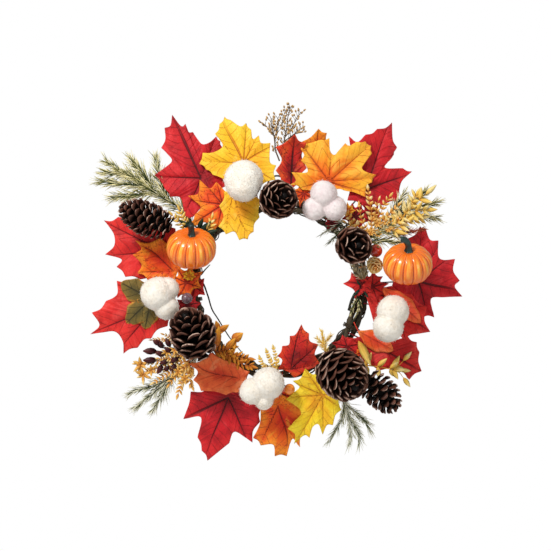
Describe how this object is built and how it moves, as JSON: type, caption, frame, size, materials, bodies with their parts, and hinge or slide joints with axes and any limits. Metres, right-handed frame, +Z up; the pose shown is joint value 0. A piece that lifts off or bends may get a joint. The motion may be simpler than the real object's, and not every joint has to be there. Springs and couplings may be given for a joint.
{
  "type": "harvest door wreath",
  "caption": "Autumn wreath for a door: a twisted vine ring dressed with maple leaves, pine sprigs, cones, cotton bolls, berries and small pumpkins, with a wire loop at the back.",
  "frame": {"origin": "where the top of the wire loop rests on a door hook", "axes": "-Y points out of the front of the wreath, away from the door; +Z up; +X to the right seen from the front. The ring's centre is at (0, -0.0128, -0.1339)"},
  "size_m": [0.446, 0.1049, 0.4244],
  "materials": {
    "vine": "rough grapevine bark",
    "wire": "plain florist's wire",
    "red": "printed fabric, red, darker along the veins",
    "russet": "printed fabric, russet",
    "orange": "printed fabric, orange shading to yellow and red",
    "yellow": "printed fabric, golden yellow with orange veins",
    "olive": "printed fabric, olive green with brown edges",
    "gold": "moulded, gold to rust",
    "pine": "dark green needles with frosted tips",
    "burgundy": "dark burgundy buds",
    "cone": "lacquered dark brown scales with paler edges",
    "cotton": "loose cream fibre",
    "pumpkin": "glossy orange over foam",
    "stem": "dark green",
    "berry": "glossy red and orange"
  },
  "bodies": {
    "wreath": {"binding_wire_1": "wire", "binding_wire_2": "wire", "boxwood_sprig": "gold", "burgundy_sprig": "burgundy", "cotton_boll_1": "cotton", "cotton_boll_2": "cotton", "cotton_boll_3": "cotton", "cotton_boll_4": "cotton", "cotton_boll_5": "cotton", "gold_sprig_1": "gold", "gold_sprig_2": "gold", "gold_sprig_3": "gold", "hanger_eye": "wire", "lance_leaf_1": "red", "lance_leaf_2": "orange", "loose_vine": "vine", "olive_leaves": "olive", "orange_berry": "berry", "orange_leaf_1": "orange", "orange_leaf_2": "orange", "orange_leaf_3": "orange", "orange_leaf_4": "orange", "orange_leaf_5": "orange", "orange_sprig": "orange", "pine_sprig_1": "pine", "pine_sprig_2": "pine", "pine_sprig_3": "pine", "pine_sprig_4": "pine", "pinecone_1": "cone", "pinecone_2": "cone", "pinecone_3": "cone", "pinecone_4": "cone", "pinecone_5": "cone", "pinecone_6": "cone", "pumpkin_left": "pumpkin", "pumpkin_left_stem": "stem", "pumpkin_right": "pumpkin", "pumpkin_right_stem": "stem", "red_berry": "berry", "red_leaf_1": "red", "red_leaf_10": "red", "red_leaf_2": "red", "red_leaf_3": "red", "red_leaf_4": "red", "red_leaf_5": "red", "red_leaf_6": "red", "red_leaf_7": "red", "red_leaf_8": "red", "red_leaf_9": "red", "russet_leaf": "russet", "small_red_leaf_1": "red", "small_red_leaf_2": "red", "twig_spray": "gold", "vine_1": "vine", "vine_2": "vine", "vine_3": "vine", "yellow_leaf_1": "yellow", "yellow_leaf_2": "yellow", "yellow_leaf_3": "yellow"},
    "loop": {"hanging_loop": "wire"}
  },
  "joints": [
    {"name": "loop_pivot", "type": "hinge", "parent": "wreath", "child": "loop", "pos_m": [0, 0, -0.0329], "axis": [1, 0, 0], "range_deg": [-165, 20]}
  ]
}
